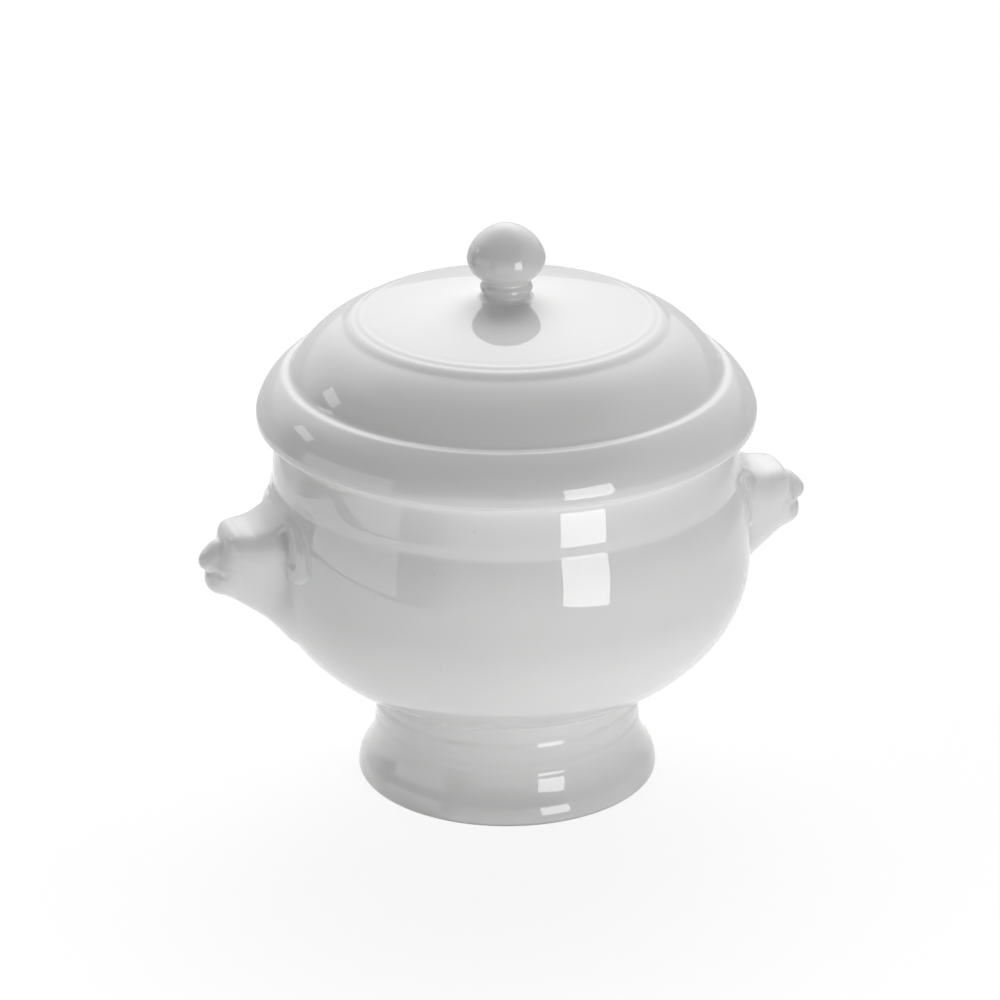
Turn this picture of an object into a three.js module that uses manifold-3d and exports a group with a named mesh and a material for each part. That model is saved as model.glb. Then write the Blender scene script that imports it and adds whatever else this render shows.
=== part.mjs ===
// Footed soup cup with two lion-head handles and a loose lid, in white glazed porcelain.
// Millimetres, +Z up. The origin is the centre of the foot ring on the table, and the handles lie along X.
// Each round piece is a profile of (radius, height) points turned about Z.
import * as THREE from "three";
import { mergeVertices } from "three/addons/utils/BufferGeometryUtils.js";
import Module from "manifold-3d";

// Foot: a hollow ring with a rounded base band, a hollow flare and a narrow neck with one bead under the bowl
const FOOT_RADIUS = 38;
const FOOT_NECK_RADIUS = 33.3;
const FOOT_FLARE_HEIGHT = 12.5;
const FOOT_NECK_HEIGHT = 12.3;
const FOOT_WALL = 3.6;
const FOOT_BAND_HEIGHT = 5.5;
const FOOT_BAND_TAPER = 1.2;
const FOOT_BAND_BULGE = 0.3;
const FOOT_FLARE_HOLLOW = 0.9;
const FOOT_BEAD_DROP = 4.5;
const FOOT_BEAD_SIZE = 0.75;
const FOOT_BEAD_HALF_WIDTH = 1.9;
const FOOT_EDGE_ROUND = 0.7;
const FOOT_TREAD_WIDTH = 3;

// Bowl: a belly of two half ellipses, a ledge, a shallow cove and a flat rim
const BELLY_RADIUS = 60.9;
const BELLY_DEPTH = 40;
const BELLY_UPPER_DEPTH = 97;
const BELLY_UPPER_HEIGHT = 22.6;
const LEDGE_HEIGHT = 3.4;
const LEDGE_WIDTH = 1.4;
const LEDGE_BULGE = 0.3;
const COVE_HEIGHT = 11.1;
const COVE_HOLLOW = 0.35;
const RIM_FLARE = 0.9;
const RIM_ROUND = 0.8;
const BOWL_WALL = 4.2;

// Lid: a flat seat with a locating flange, a rolled rim, a shoulder and a raised, slightly domed top
const LID_OVERHANG = 3.3;
const LID_EDGE_ROUND = 0.9;
const LID_BAND_HEIGHT = 3.2;
const LID_GROOVE_INSET = 7.7;
const LID_GROOVE_HEIGHT = 12;
const LID_ROLL_BULGE = 1.5;
const LID_SHOULDER_WIDTH = 14.9;
const LID_SHOULDER_RISE = 12.2;
const LID_SHOULDER_BULGE = 1.6;
const LID_TOP_STEP = 2;
const LID_TOP_STEP_WIDTH = 1.6;
const LID_TOP_STEP_BULGE = 0.3;
const LID_TOP_DOME = 3.6;
const LID_WALL = 4;
const FLANGE_DEPTH = 6.5;
const FLANGE_WALL = 3;
const FLANGE_CLEARANCE = 0.7;

// Knob: a slightly pointed ball on a neck and a collar
const KNOB_RADIUS = 9.65;
const KNOB_NECK_RADIUS = 5.75;
const KNOB_NECK_HEIGHT = 0.6;
const KNOB_COLLAR_HEIGHT = 4.4;
const KNOB_COLLAR_BULGE = 0.65;
const KNOB_LOWER_HEIGHT = 5.6;
const KNOB_UPPER_HEIGHT = 9.9;
const KNOB_POINT_POWER = 1.85;

// Lion heads: sections from the tip of the nose back to a point inside the wall. Reach is measured outwards
// from the belly's widest circle, top and bottom from the height of that circle, and half is half the width.
const HEAD_SECTIONS = [
  { reach: 18.4, top: 7.6, bottom: 7.6, half: 0 },
  { reach: 17.9, top: 9.5, bottom: 2.8, half: 4.6 },
  { reach: 16.9, top: 10.7, bottom: 0.9, half: 6.2 },
  { reach: 15.0, top: 11.5, bottom: -0.4, half: 7.6 },
  { reach: 13.2, top: 13.0, bottom: -1.3, half: 9.0 },
  { reach: 11.2, top: 15.6, bottom: -2.2, half: 10.8 },
  { reach: 8.2, top: 17.2, bottom: -3.9, half: 13.0 },
  { reach: 5.2, top: 17.4, bottom: -6.4, half: 14.8 },
  { reach: 2.2, top: 17.8, bottom: -8.7, half: 16.6 },
  { reach: -0.8, top: 18.4, bottom: -10.6, half: 18.2 },
  { reach: -4.0, top: 18.6, bottom: -13.2, half: 19.2 },
  { reach: -12.0, top: 16.0, bottom: -13.0, half: 16.0 },
  { reach: -12.0, top: 1.5, bottom: 1.5, half: 0 },
];
const HEAD_WIDEST_LEVEL = 0.58;
const HEAD_ROUND_POWER = 2.2;
const HEAD_JAW_POWER = 1.7;
const HEAD_AROUND = 32;

// Thin layer of fired slip between luted pieces
const LUTE_GAP = 0.3;

const ROUND_STEPS = 64;
const KNOB_ROUND_STEPS = 36;

// Sizes that follow from the ones above
const footHeight = FOOT_FLARE_HEIGHT + FOOT_NECK_HEIGHT;
const footInnerRadius = FOOT_NECK_RADIUS - FOOT_WALL;
const seatInnerRadius = footInnerRadius - LUTE_GAP;
const bellyCentre = footHeight + BELLY_DEPTH * Math.sqrt(1 - (FOOT_NECK_RADIUS / BELLY_RADIUS) ** 2);
const shoulderAngle = Math.asin(BELLY_UPPER_HEIGHT / BELLY_UPPER_DEPTH);
const shoulderRadius = BELLY_RADIUS * Math.cos(shoulderAngle);
const shoulderHeight = bellyCentre + BELLY_UPPER_HEIGHT;
const coveRadius = shoulderRadius - LEDGE_WIDTH;
const coveBottom = shoulderHeight + LEDGE_HEIGHT;
const rimRadius = coveRadius + RIM_FLARE;
const rimHeight = coveBottom + COVE_HEIGHT;
const throatRadius = coveRadius - BOWL_WALL;
const lidRadius = rimRadius + LID_OVERHANG;
const grooveRadius = lidRadius - LID_GROOVE_INSET;
const flangeRadius = throatRadius - FLANGE_CLEARANCE;
const lidTopRadius = grooveRadius - LID_SHOULDER_WIDTH - LID_TOP_STEP_WIDTH;
const lidTopEdge = LID_GROOVE_HEIGHT + LID_SHOULDER_RISE + LID_TOP_STEP;
const knobSeat = domeHeight(KNOB_NECK_RADIUS);

const at = (radius, height) => new THREE.Vector2(radius, height);

// Height of the lid's domed top above the rim, at a radius.
function domeHeight(radius) {
  return lidTopEdge + LID_TOP_DOME * (1 - (radius / lidTopRadius) ** 2);
}

// Points of an ellipse about (0, centre), between two angles measured from the outward direction.
function ellipse(centre, radius, depth, from, to, steps) {
  const curve = new THREE.EllipseCurve(0, centre, radius, depth, from, to, to < from);
  return curve.getPoints(steps);
}

// Points of a shallow curve between two points. It swells by bulge to the right of the way along it.
function swell(from, to, bulge, steps) {
  const along = to.clone().sub(from);
  const side = at(along.y, -along.x).normalize();
  const middle = from.clone().lerp(to, 0.5).addScaledVector(side, 2 * bulge);
  return new THREE.QuadraticBezierCurve(from, middle, to).getPoints(steps);
}

// A closed body turned from a profile, with Z as its axis.
function turned(profile, steps) {
  return new THREE.LatheGeometry(profile, steps).rotateX(Math.PI / 2);
}

// The outside of the bowl from its seat on the foot to the rim. grow moves the skin outwards.
function bowlOutside(grow) {
  const belly = BELLY_RADIUS + grow;
  const seatAngle = -Math.acos(FOOT_NECK_RADIUS / belly);
  const shoulder = at(belly * Math.cos(shoulderAngle), shoulderHeight);
  const cove = at(coveRadius + grow, coveBottom);
  const rim = at(rimRadius + grow, rimHeight - RIM_ROUND);
  return [
    ...ellipse(bellyCentre, belly, BELLY_DEPTH + grow, seatAngle, 0, 10),
    ...ellipse(bellyCentre, belly, BELLY_UPPER_DEPTH, 0, shoulderAngle, 4),
    ...swell(shoulder, cove, LEDGE_BULGE, 3),
    ...swell(cove, rim, -COVE_HOLLOW, 4),
  ];
}

function bowlProfile() {
  const under = -Math.acos(seatInnerRadius / BELLY_RADIUS);
  const bottom = -Math.PI / 2;
  return [
    ...ellipse(bellyCentre, BELLY_RADIUS, BELLY_DEPTH, bottom, under, 4),
    at(seatInnerRadius, footHeight),
    ...bowlOutside(0),
    at(rimRadius - RIM_ROUND, rimHeight),
    at(throatRadius + RIM_ROUND, rimHeight),
    at(throatRadius, rimHeight - RIM_ROUND),
    at(throatRadius, shoulderHeight),
    ...ellipse(bellyCentre, BELLY_RADIUS - BOWL_WALL, BELLY_DEPTH - BOWL_WALL, 0, bottom, 10),
  ];
}

function footProfile() {
  const treadInner = FOOT_RADIUS - FOOT_EDGE_ROUND - FOOT_TREAD_WIDTH;
  const bandBottom = at(FOOT_RADIUS, FOOT_EDGE_ROUND);
  const bandTop = at(FOOT_RADIUS - FOOT_BAND_TAPER, FOOT_BAND_HEIGHT);
  const neckBottom = at(FOOT_NECK_RADIUS, FOOT_FLARE_HEIGHT);
  const beadHeight = footHeight - FOOT_BEAD_DROP;
  const beadBottom = at(FOOT_NECK_RADIUS, beadHeight - FOOT_BEAD_HALF_WIDTH);
  const beadTop = at(FOOT_NECK_RADIUS, beadHeight + FOOT_BEAD_HALF_WIDTH);
  return [
    at(treadInner, 0),
    at(FOOT_RADIUS - FOOT_EDGE_ROUND, 0),
    ...swell(bandBottom, bandTop, FOOT_BAND_BULGE, 3),
    ...swell(bandTop, neckBottom, -FOOT_FLARE_HOLLOW, 6),
    ...swell(beadBottom, beadTop, FOOT_BEAD_SIZE, 4),
    at(FOOT_NECK_RADIUS, footHeight),
    at(footInnerRadius, footHeight),
    at(footInnerRadius, FOOT_FLARE_HEIGHT),
    at(treadInner - FOOT_EDGE_ROUND, FOOT_EDGE_ROUND),
    at(treadInner, 0),
  ];
}

// Heights here are measured from the lid's seat on the rim.
function lidProfile() {
  const flangeInner = flangeRadius - FLANGE_WALL;
  const bandTop = at(lidRadius, LID_BAND_HEIGHT);
  const groove = at(grooveRadius, LID_GROOVE_HEIGHT);
  const shoulder = at(grooveRadius - LID_SHOULDER_WIDTH, LID_GROOVE_HEIGHT + LID_SHOULDER_RISE);
  const topEdge = at(lidTopRadius, lidTopEdge);
  const innerEdge = at(lidTopRadius - LID_WALL / 2, lidTopEdge - LID_WALL);
  const innerGroove = at(flangeInner, LID_GROOVE_HEIGHT - LID_WALL);
  const dome = [0.25, 0.5, 0.75, 1].map((share) => {
    const radius = THREE.MathUtils.lerp(lidTopRadius, KNOB_NECK_RADIUS, share);
    return at(radius, domeHeight(radius));
  });
  return [
    at(flangeInner, -FLANGE_DEPTH),
    at(flangeRadius, -FLANGE_DEPTH),
    at(flangeRadius, 0),
    at(lidRadius - LID_EDGE_ROUND, 0),
    at(lidRadius, LID_EDGE_ROUND),
    ...swell(bandTop, groove, LID_ROLL_BULGE, 7),
    ...swell(groove, shoulder, LID_SHOULDER_BULGE, 8),
    ...swell(shoulder, topEdge, LID_TOP_STEP_BULGE, 3),
    ...dome,
    at(0, knobSeat),
    at(0, knobSeat - LID_WALL),
    at(lidTopRadius / 2, domeHeight(lidTopRadius / 2) - LID_WALL),
    ...swell(innerEdge, innerGroove, -LID_SHOULDER_BULGE, 5),
    at(flangeInner, -FLANGE_DEPTH),
  ].map((point) => at(point.x, point.y + rimHeight));
}

// Heights here are measured from the knob's seat on the lid.
function knobProfile() {
  const ballBottom = KNOB_COLLAR_HEIGHT + KNOB_NECK_HEIGHT;
  const ballCentre = ballBottom + KNOB_LOWER_HEIGHT;
  const neckAngle = Math.acos(KNOB_NECK_RADIUS / KNOB_RADIUS);
  const lowerDepth = KNOB_LOWER_HEIGHT / Math.sin(neckAngle);
  const upper = [0.25, 0.5, 0.7, 0.85, 0.95, 1].map((rise) => {
    const radius = KNOB_RADIUS * (1 - rise ** KNOB_POINT_POWER) ** (1 / KNOB_POINT_POWER);
    return at(radius, ballCentre + KNOB_UPPER_HEIGHT * rise);
  });
  return [
    at(0, 0),
    ...swell(at(KNOB_NECK_RADIUS, 0), at(KNOB_NECK_RADIUS, KNOB_COLLAR_HEIGHT), KNOB_COLLAR_BULGE, 6),
    ...ellipse(ballCentre, KNOB_RADIUS, lowerDepth, -neckAngle, 0, 6),
    ...upper,
  ].map((point) => at(point.x, point.y + rimHeight + knobSeat));
}

// One section of a lion head: a loop of points round the head at one reach, wide at cheek level and
// narrower towards the jaw.
function headLoop({ reach, top, bottom, half }) {
  const level = THREE.MathUtils.lerp(bottom, top, HEAD_WIDEST_LEVEL);
  return Array.from({ length: HEAD_AROUND }, (_, i) => {
    const angle = (i / HEAD_AROUND) * 2 * Math.PI;
    const across = Math.cos(angle);
    const up = Math.sin(angle);
    const power = 2 / (up > 0 ? HEAD_ROUND_POWER : HEAD_JAW_POWER);
    const side = half * Math.sign(across) * Math.abs(across) ** power;
    const rise = (up > 0 ? top - level : level - bottom) * Math.sign(up) * Math.abs(up) ** power;
    return new THREE.Vector3(BELLY_RADIUS + reach, side, bellyCentre + level + rise);
  });
}

// A lion head on the +X side, as a skin over its sections.
function headBody() {
  const corner = (section, i) => section * HEAD_AROUND + (i % HEAD_AROUND);
  const faces = [];
  for (let section = 0; section + 1 < HEAD_SECTIONS.length; section++) {
    for (let i = 0; i < HEAD_AROUND; i++) {
      faces.push(corner(section, i), corner(section + 1, i), corner(section + 1, i + 1));
      faces.push(corner(section, i), corner(section + 1, i + 1), corner(section, i + 1));
    }
  }
  return new THREE.BufferGeometry().setFromPoints(HEAD_SECTIONS.flatMap(headLoop)).setIndex(faces);
}

const wasm = await Module();
wasm.setup();

function toSolid(geometry) {
  const bare = geometry.clone();
  bare.deleteAttribute("normal");
  bare.deleteAttribute("uv");
  const merged = mergeVertices(bare, 1e-4);
  return new wasm.Manifold(new wasm.Mesh({
    numProp: 3,
    vertProperties: merged.getAttribute("position").array,
    triVerts: new Uint32Array(merged.index.array),
  }));
}

function toGeometry(solid) {
  const mesh = solid.getMesh();
  const geometry = new THREE.BufferGeometry();
  geometry.setAttribute("position", new THREE.BufferAttribute(mesh.vertProperties, 3));
  geometry.setIndex(new THREE.BufferAttribute(mesh.triVerts, 1));
  geometry.computeVertexNormals();
  return geometry;
}

// The head keeps the thin luting gap to the bowl's wall all round its back.
function lionHead() {
  const skin = bowlOutside(LUTE_GAP);
  const first = skin[0];
  const final = skin[skin.length - 1];
  const wall = turned([at(0, first.y), ...skin, at(0, final.y)], ROUND_STEPS);
  return toGeometry(toSolid(headBody()).subtract(toSolid(wall)));
}

const glaze = new THREE.MeshStandardMaterial({ color: 0xf4f4f2, roughness: 0.12, metalness: 0 });

function piece(name, geometry) {
  const mesh = new THREE.Mesh(geometry, glaze.clone());
  mesh.name = name;
  return mesh;
}

const rightHead = lionHead();
const cup = new THREE.Group();
cup.add(piece("bowl", turned(bowlProfile(), ROUND_STEPS)));
cup.add(piece("pedestal_foot", turned(footProfile(), ROUND_STEPS)));
cup.add(piece("right_lion_head", rightHead));
cup.add(piece("left_lion_head", rightHead.clone().rotateZ(Math.PI)));

const cover = new THREE.Group();
cover.add(piece("lid", turned(lidProfile(), ROUND_STEPS)));
cover.add(piece("lid_knob", turned(knobProfile(), KNOB_ROUND_STEPS)));

const soupCup = new THREE.Group();
soupCup.add(cup, cover);

export default soupCup;
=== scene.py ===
# %% [markdown]
# # A lidded soup cup in white porcelain
#
# The cup is table porcelain under a clear gloss glaze: a round bowl luted onto a hollow foot, a loose lid
# with a ball knob, and two lug handles cast as lion heads. The imported CAD model holds the sizes, the joint
# This script dresses it: each plain solid gets a finer skin of the same shape, with
# soft glazed edges, modelled heads and a glaze that shows how it ran in the kiln. In the hollows of the
# heads its colour is darker, partly for thicker glaze and partly as painted shade.

import math
from itertools import combinations

import bmesh
import bpy
import numpy as np
from mathutils import Matrix, Vector


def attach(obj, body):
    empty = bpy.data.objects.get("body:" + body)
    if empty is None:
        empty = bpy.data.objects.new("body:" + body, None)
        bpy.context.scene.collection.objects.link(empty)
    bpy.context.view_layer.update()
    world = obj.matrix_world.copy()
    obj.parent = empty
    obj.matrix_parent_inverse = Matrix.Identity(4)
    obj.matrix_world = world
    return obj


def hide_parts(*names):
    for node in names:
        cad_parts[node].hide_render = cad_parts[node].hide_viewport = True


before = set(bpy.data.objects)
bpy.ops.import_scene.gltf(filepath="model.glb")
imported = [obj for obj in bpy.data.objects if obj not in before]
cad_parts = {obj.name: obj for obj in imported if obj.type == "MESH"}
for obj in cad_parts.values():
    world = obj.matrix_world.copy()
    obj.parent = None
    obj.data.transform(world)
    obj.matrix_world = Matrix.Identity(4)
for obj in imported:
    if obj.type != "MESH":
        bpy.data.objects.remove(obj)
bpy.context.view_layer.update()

# %% [markdown]
# ## Camera
#
# A long lens far away keeps the rings of a turned pot nearly the same shape from top to bottom. The camera
# looks down by 23 degrees and stands a little to the left, so the left lion is nearer. Its place is worked
# out from two angles, a distance and the point it aims at, which is easier to adjust than a position. The
# lamps below are placed by such angles too, seen from the camera.

# %% Camera
CAMERA_AZIMUTH = -17.2
CAMERA_ELEVATION = 23.0
CAMERA_DISTANCE = 1.1188
CAMERA_AIM = Vector((-0.0016, 0.0005, 0.0724))
CAMERA_ROLL = math.radians(-0.15)
LENS_MM = 161.2
SENSOR_MM = 36
FAR_CLIP = 20


def bearing(across, up):
    """The direction that lies across degrees to the right of the camera and up degrees above the table."""
    turned = math.radians(CAMERA_AZIMUTH + across)
    rise = math.radians(up)
    return Vector((math.sin(turned) * math.cos(rise), -math.cos(turned) * math.cos(rise), math.sin(rise)))


towards_camera = bearing(0, CAMERA_ELEVATION)
lens = bpy.data.cameras.new("photo_camera")
lens.lens = LENS_MM
lens.sensor_width = SENSOR_MM
lens.clip_end = FAR_CLIP
camera = bpy.data.objects.new("photo_camera", lens)
camera.matrix_world = (
    Matrix.Translation(CAMERA_AIM + CAMERA_DISTANCE * towards_camera)
    @ towards_camera.to_track_quat("Z", "Y").to_matrix().to_4x4()
    @ Matrix.Rotation(CAMERA_ROLL, 4, "Z")
)
bpy.context.scene.collection.objects.link(camera)
bpy.context.scene.camera = camera
bpy.context.scene.view_settings.view_transform = "Standard"
print("camera at", [round(c, 3) for c in camera.matrix_world.translation])

# %% [markdown]
# ## Profiles
#
# A potter thinks of a round pot as a profile turned on a wheel. Here a profile is an array of (radius,
# height) points in millimetres, put together from ellipse arcs, shallow swells and single corners. The
# glaze melts and rounds every corner, so each finished profile is averaged along its own length with a
# narrow bell curve.

# %% Stretches of a profile
def ellipse_arc(radius, depth, centre, start, end, steps=80):
    """Ellipse about (0, centre): r = radius cos(a), z = centre + depth sin(a), for a from start to end."""
    angle = np.linspace(start, end, steps)
    return np.stack([radius * np.cos(angle), centre + depth * np.sin(angle)], axis=1)


def swell(start, end, bulge, steps=40):
    """Straight line from start to end plus bulge times 4t(1 - t), to the right of the way along it."""
    start = np.array(start, float)
    along = np.array(end, float) - start
    side = np.array([along[1], -along[0]]) / np.hypot(*along)
    t = np.linspace(0, 1, steps)[:, None]
    return start + t * along + 4 * t * (1 - t) * bulge * side


# %% From stretches to a soft profile
SAMPLE_STEP = 0.05
SAME_POINT = 1e-6
BELL_REACH = 4
BEND_SHARE = 4.0


def even_line(stretches):
    """The stretches joined end to end, as points in even steps along the way."""
    points = np.concatenate([np.atleast_2d(np.array(s, float)) for s in stretches])
    gaps = np.hypot(*np.diff(points, axis=0).T)
    points = points[np.concatenate([[True], gaps > SAME_POINT])]
    length = np.concatenate([[0], np.cumsum(np.hypot(*np.diff(points, axis=0).T))])
    even = np.linspace(0, length[-1], int(length[-1] / SAMPLE_STEP))
    return np.stack([np.interp(even, length, points[:, i]) for i in (0, 1)], axis=1)


def melted(line, width, closed):
    """Each point becomes the mean of its neighbours, weighed by a bell curve of this width in mm. A closed
    line runs on past its ends. An open one starts and ends on the axis and is mirrored there."""
    reach = int(BELL_REACH * width / SAMPLE_STEP)
    mirror = np.array([-1, 1])
    before = line[-reach - 1:-1] if closed else line[1:reach + 1][::-1] * mirror
    after = line[1:reach + 1] if closed else line[-reach - 1:-1][::-1] * mirror
    bell = np.exp(-0.5 * (np.arange(-reach, reach + 1) * SAMPLE_STEP / width) ** 2)
    padded = np.concatenate([before, line, after])
    return np.stack([np.convolve(padded[:, i], bell / bell.sum(), "valid") for i in (0, 1)], axis=1)


def thinned(line, samples):
    """This many points of the line, spread evenly over its length plus BEND_SHARE times the angle that it
    turns through, so that bends keep more of them."""
    way = np.diff(line, axis=0)
    turn = np.abs(np.diff(np.unwrap(np.arctan2(way[:, 1], way[:, 0])), prepend=0))
    turn[0] = 0
    weight = np.concatenate([[0], np.cumsum(np.hypot(*way.T) + BEND_SHARE * turn)])
    pick = np.interp(np.linspace(0, weight[-1], samples), weight, np.arange(len(line)))
    return np.stack([np.interp(pick, np.arange(len(line)), line[:, i]) for i in (0, 1)], axis=1)


def soften(stretches, width, samples, closed=False):
    """One profile from its stretches: joined, melted by this width in mm and thinned to so many points."""
    return thinned(melted(even_line(stretches), width, closed), samples)


# %% [markdown]
# ## Skins
#
# A turned piece is a grid of points: one row per profile point, one column per angle. Where the profile
# meets the axis, a whole row would shrink to one point, so the row becomes a single pole with a fan of
# triangles. The signed volume tells whether the faces point outwards.

# %% Mesh helpers
MM = 0.001
AROUND = 192


def mesh_object(name, points_mm, faces):
    """A smooth-shaded object from points in millimetres, with its faces turned outwards."""
    mesh = bpy.data.meshes.new(name)
    mesh.from_pydata((np.asarray(points_mm) * MM).tolist(), [], faces)
    work = bmesh.new()
    work.from_mesh(mesh)
    if work.calc_volume(signed=True) < 0:
        bmesh.ops.reverse_faces(work, faces=work.faces)
    work.to_mesh(mesh)
    work.free()
    mesh.shade_smooth()
    piece = bpy.data.objects.new(name, mesh)
    bpy.context.scene.collection.objects.link(piece)
    print(name, len(mesh.vertices), "points", len(mesh.polygons), "faces")
    return piece


def turned_piece(name, profile, closed=False):
    """Turn a profile about Z: point (r, z) at angle a goes to (r cos a, r sin a, z). A closed profile gives
    a ring, and an open one has a pole at each end."""
    column = np.arange(AROUND)
    beside = (column + 1) % AROUND
    angle = np.linspace(0, 2 * math.pi, AROUND, endpoint=False)
    rows = profile[:-1] if closed else profile[1:-1]
    r, z = rows[:, :1], rows[:, 1:]
    grid = np.stack([r * np.cos(angle), r * np.sin(angle), z + 0 * angle], axis=2).reshape(-1, 3)
    count = len(rows)
    row = np.arange(count if closed else count - 1)[:, None]
    here, above = row * AROUND, (row + 1) % count * AROUND
    quads = np.stack([here + column, here + beside, above + beside, above + column], axis=2).reshape(-1, 4)
    if closed:
        return mesh_object(name, grid, quads.tolist())
    last_row = (count - 1) * AROUND
    pole = np.full(AROUND, count * AROUND)
    start_fan = np.stack([pole, beside, column], axis=1)
    end_fan = np.stack([pole + 1, last_row + column, last_row + beside], axis=1)
    poles = [[0, 0, profile[0, 1]], [0, 0, profile[-1, 1]]]
    faces = quads.tolist() + start_fan.tolist() + end_fan.tolist()
    return mesh_object(name, np.concatenate([grid, poles]), faces)


# %% [markdown]
# ## Bowl
#
# The belly is a deep ellipse below its widest ring and almost upright above it, then it rounds in to a
# shoulder. A short upright step stands on the shoulder, and from there the neck leans in to the rim, which
# flares a little under the lid. Inside, a smaller ellipse lies under a straight throat, and the wall is
# about 4 mm thick.

# %% Bowl
FOOT_HEIGHT = 24.8
FOOT_NECK_RADIUS = 33.3
BELLY_RADIUS = 60.9
BELLY_DEPTH = 40
UPPER_DEPTH = 97
ROUND_START = 12.0
SHOULDER_HEIGHT = 22.7
SHOULDER_IN = 2.75
SHOULDER_SWELL = 0.38
UPRIGHT_HEIGHT = 3.0
UPRIGHT_LEAN = 0.05
NECK_TOP_RADIUS = 57.25
NECK_TOP_DROP = 2.4
NECK_SWELL = 0.05
RIM_HEIGHT = 95.39
RIM_RADIUS = 58.42
RIM_TAPER = 0.1
THROAT_RADIUS = 53.62
BOWL_WALL = 4.2
LIP_ROUND = 0.3
GLAZE_ROUND = 0.45
BOWL_ROWS = 380
DOWN = -math.pi / 2

belly_centre = FOOT_HEIGHT + BELLY_DEPTH * math.sqrt(1 - (FOOT_NECK_RADIUS / BELLY_RADIUS) ** 2)
round_angle = math.asin(ROUND_START / UPPER_DEPTH)
round_start = (BELLY_RADIUS * math.cos(round_angle), belly_centre + ROUND_START)
shoulder = (BELLY_RADIUS - SHOULDER_IN, belly_centre + SHOULDER_HEIGHT)
neck_foot = (shoulder[0] + UPRIGHT_LEAN, shoulder[1] + UPRIGHT_HEIGHT)
neck_top = (NECK_TOP_RADIUS, RIM_HEIGHT - NECK_TOP_DROP)

bowl_profile = soften([
    ellipse_arc(BELLY_RADIUS, BELLY_DEPTH, belly_centre, DOWN, 0),
    ellipse_arc(BELLY_RADIUS, UPPER_DEPTH, belly_centre, 0, round_angle),
    swell(round_start, shoulder, SHOULDER_SWELL),
    neck_foot,
    swell(neck_foot, neck_top, NECK_SWELL),
    (RIM_RADIUS - RIM_TAPER, RIM_HEIGHT - 2 * LIP_ROUND),
    (RIM_RADIUS, RIM_HEIGHT),
    (THROAT_RADIUS + LIP_ROUND, RIM_HEIGHT),
    (THROAT_RADIUS, RIM_HEIGHT - LIP_ROUND),
    (THROAT_RADIUS, shoulder[1]),
    ellipse_arc(BELLY_RADIUS - BOWL_WALL, BELLY_DEPTH - BOWL_WALL, belly_centre, 0, DOWN),
], GLAZE_ROUND, BOWL_ROWS)
bowl = turned_piece("bowl_body", bowl_profile)

# %% [markdown]
# ## Foot
#
# The foot is a hollow ring: a rounded band on the table, a hollow flare and a neck with a bead and a
# flatter ring. Its top flares out to meet the bowl in the small fillet that the slip and the glaze leave
# there. The turner's tool leaves faint ridges on the neck: a sine wave on the radius, which fades out at
# both ends.

# %% Foot
TREAD_INNER = 34.3
TREAD_OUTER = 37.3
TREAD_ROUND = 0.7
BAND_TOP, BAND_SWELL = (36.9, 5.0), 0.25
FLARE_TOP, FLARE_SWELL = (34.6, 9.0), -0.15
WAIST, WAIST_SWELL = (33.6, 13.0), -0.12
BEAD_LOW, BEAD_HIGH, BEAD_PROUD = 16.8, 20.6, 0.36
RING_LOW, RING_HIGH, RING_PROUD = 21.0, 23.6, 0.22
FILLET_END, FILLET_SWELL = (34.7, 26.0), -0.2
HOLLOW_RADIUS = 29.7
HOLLOW_TOP = 12.5
RIDGE_SPACING = 2.7
RIDGE_DEPTH = 0.07
RIDGES_FROM, RIDGES_TO = 10.5, 23.0
RIDGED_WALL = 2.0
FOOT_ROWS = 300

foot_profile = soften([
    (TREAD_INNER, 0),
    (TREAD_OUTER, 0),
    swell((TREAD_OUTER + TREAD_ROUND, TREAD_ROUND), BAND_TOP, BAND_SWELL),
    swell(BAND_TOP, FLARE_TOP, FLARE_SWELL),
    swell(FLARE_TOP, WAIST, WAIST_SWELL),
    swell((FOOT_NECK_RADIUS, BEAD_LOW), (FOOT_NECK_RADIUS, BEAD_HIGH), BEAD_PROUD),
    swell((FOOT_NECK_RADIUS, RING_LOW), (FOOT_NECK_RADIUS, RING_HIGH), RING_PROUD),
    swell((FOOT_NECK_RADIUS, RING_HIGH), FILLET_END, FILLET_SWELL),
    (HOLLOW_RADIUS, FOOT_HEIGHT),
    (HOLLOW_RADIUS, HOLLOW_TOP),
    (TREAD_INNER - TREAD_ROUND, TREAD_ROUND),
    (TREAD_INNER, 0),
], GLAZE_ROUND, FOOT_ROWS, closed=True)
outer_side = np.clip(foot_profile[:, 0] - HOLLOW_RADIUS - RIDGED_WALL, 0, 1)
up_the_neck = np.clip((foot_profile[:, 1] - RIDGES_FROM) / (RIDGES_TO - RIDGES_FROM), 0, 1)
ridge = np.sin(2 * math.pi * foot_profile[:, 1] / RIDGE_SPACING) * np.sin(math.pi * up_the_neck)
foot_profile[:, 0] += RIDGE_DEPTH * outer_side * ridge
foot = turned_piece("foot_ring", foot_profile, closed=True)

# %% [markdown]
# ## Lid
#
# The lid rests on the rim with a flat seat, and a flange under it keeps it in place. Outside it has a
# rolled edge, a broad groove, a swelling shoulder and a small step up to a domed top. The turner's tool
# left two fine lines round the edge of the top, and a low boss in its middle carries the knob.

# %% Top of the lid
TOP_RADIUS = 37.82
TOP_HEIGHT = 121.59
DOME_RISE = 4.85
LINE_SPACING = 2.3
LINE_DEPTH = 0.15
BOSS_RISE = 0.7
BOSS_REACH = 9.0


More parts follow.
